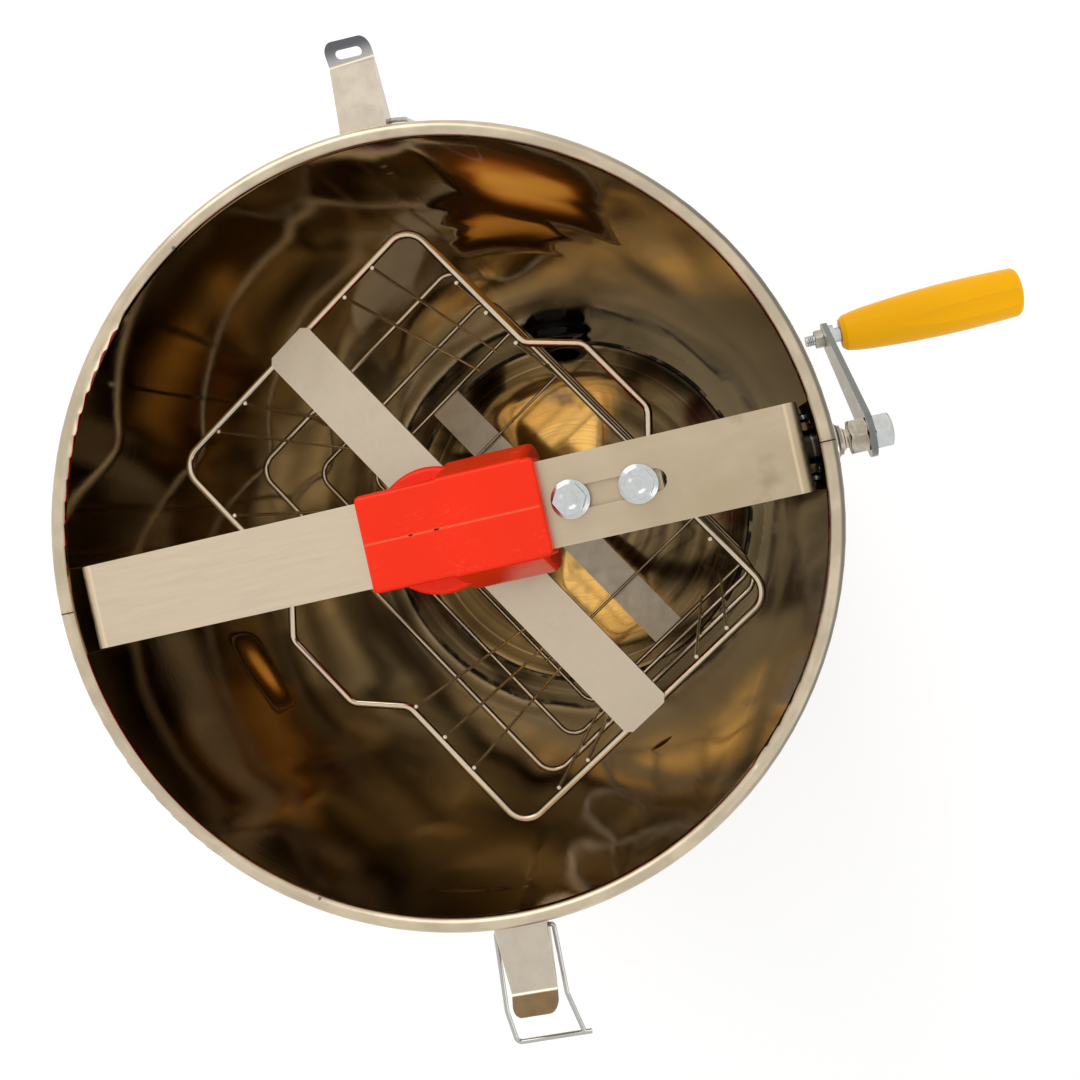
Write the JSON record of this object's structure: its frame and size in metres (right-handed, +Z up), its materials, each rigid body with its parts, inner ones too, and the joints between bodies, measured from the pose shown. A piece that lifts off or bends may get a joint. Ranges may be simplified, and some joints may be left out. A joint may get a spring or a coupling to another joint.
{
  "type": "honey extractor",
  "caption": "Tangential honey extractor: open steel drum with a crossbar, a wire cage on a central shaft, bevel gears under a red cover, a side crank, lid latches and a honey gate.",
  "frame": {"origin": "on the drum's axis, in the plane of its foot", "axes": "+Z up along the drum's axis, +X along the crossbar to the crank, +Y to the side of the honey gate"},
  "size_m": [0.5487, 0.5314, 0.7161],
  "materials": {
    "drum_steel": "mirror-bright rolled stainless sheet",
    "bar_steel": "satin stainless flat bar",
    "zinc": "bright zinc-plated steel",
    "brass": "turned brass",
    "pressed_steel": "pressed stainless sheet",
    "bright_wire": "bright drawn stainless wire",
    "cage_steel": "satin stainless",
    "gear_steel": "machined steel, oiled",
    "cover_red": "moulded red plastic, semi-gloss",
    "arm_steel": "zinc-plated flat steel",
    "grip_orange": "moulded orange plastic",
    "gate_black": "black moulded plastic",
    "seal_rubber": "soft black rubber"
  },
  "bodies": {
    "drum": {"drum_wall": "drum_steel", "drum_floor": "drum_steel", "foot_bearing": "brass", "foot_bearing_rivets": "pressed_steel", "crossbar": "bar_steel", "crossbar_bolts": "zinc", "crossbar_nuts": "zinc", "top_bearing": "brass", "bearing_rivets": "pressed_steel", "bearing_block": "bar_steel", "block_bolts": "zinc", "wall_bearing_plate": "pressed_steel", "wall_bush": "brass", "plate_rivets": "pressed_steel", "gear_cover_left": "cover_red", "gear_cover_right": "cover_red", "cover_screws": "zinc", "latch_base_front": "pressed_steel", "latch_base_back": "pressed_steel", "latch_rivets": "pressed_steel", "latch_pins": "pressed_steel", "gate_body": "gate_black", "gate_nut": "gate_black", "gate_gaskets": "seal_rubber", "gate_pivot_bolt": "zinc", "gate_clamp_stud": "zinc"},
    "cage": {"cage_shaft": "cage_steel", "top_strip": "cage_steel", "bottom_strip": "cage_steel", "top_hub": "cage_steel", "bottom_hub": "cage_steel", "hub_pins": "cage_steel", "top_hoop": "bright_wire", "upper_hoop": "bright_wire", "lower_hoop": "bright_wire", "bottom_hoop": "bright_wire", "side_wires": "bright_wire", "end_wires": "bright_wire", "base_wires": "bright_wire", "cage_gear": "gear_steel", "cage_gear_pin": "cage_steel"},
    "crank": {"drive_shaft": "cage_steel", "drive_gear": "gear_steel", "drive_gear_pin": "cage_steel", "drive_collar": "zinc", "crank_locknut": "zinc", "crank_arm": "arm_steel", "crank_cap_nut": "zinc", "grip_bolt": "zinc", "grip_nut": "zinc", "grip_collar": "zinc"},
    "grip": {"crank_grip": "grip_orange"},
    "lever_front": {"latch_lever_front": "pressed_steel"},
    "lever_back": {"latch_lever_back": "pressed_steel"},
    "bail_front": {"latch_bail_front": "bright_wire"},
    "bail_back": {"latch_bail_back": "bright_wire"},
    "flap": {"gate_flap": "gate_black"},
    "wing_nut": {"gate_wing_nut": "gate_black"}
  },
  "joints": [
    {"name": "cage_spin", "type": "hinge", "parent": "drum", "child": "cage", "pos_m": [0, 0, 0.046], "axis": [0, 0, 1], "continuous": true},
    {"name": "crank_turn", "type": "hinge", "parent": "drum", "child": "crank", "pos_m": [0.2, 0, 0.67], "axis": [1, 0, 0], "continuous": true},
    {"name": "grip_spin", "type": "hinge", "parent": "crank", "child": "grip", "pos_m": [0.2383, 0.06309, 0.57989], "axis": [1, 0, 0], "continuous": true},
    {"name": "lever_front_turn", "type": "hinge", "parent": "drum", "child": "lever_front", "pos_m": [0, -0.2075, 0.692], "axis": [-1, 0, 0], "range_deg": [-90, 30]},
    {"name": "bail_front_swing", "type": "hinge", "parent": "lever_front", "child": "bail_front", "pos_m": [0, -0.2145, 0.694], "axis": [1, 0, 0], "range_deg": [-110, 95]},
    {"name": "lever_back_turn", "type": "hinge", "parent": "drum", "child": "lever_back", "pos_m": [0.01086, 0.20722, 0.692], "axis": [0.9986, -0.0523, 0], "range_deg": [-90, 30]},
    {"name": "bail_back_swing", "type": "hinge", "parent": "lever_back", "child": "bail_back", "pos_m": [0.01123, 0.21421, 0.694], "axis": [0.9986, -0.0523, 0], "range_deg": [-30, 90]},
    {"name": "flap_swing", "type": "hinge", "parent": "drum", "child": "flap", "pos_m": [-0.01057, 0.22469, 0.048], "axis": [-0.1045, -0.9945, 0], "range_deg": [0, 100]},
    {"name": "wing_nut_spin", "type": "hinge", "parent": "drum", "child": "wing_nut", "pos_m": [0.05754, 0.2222, 0.048], "axis": [0.1045, 0.9945, 0], "continuous": true}
  ],
  "couplings": [
    {"joint": "crank_turn", "follows": "cage_spin", "ratio": 0.5},
    {"joint": "bail_back_swing", "follows": "lever_back_turn", "ratio": -1}
  ]
}
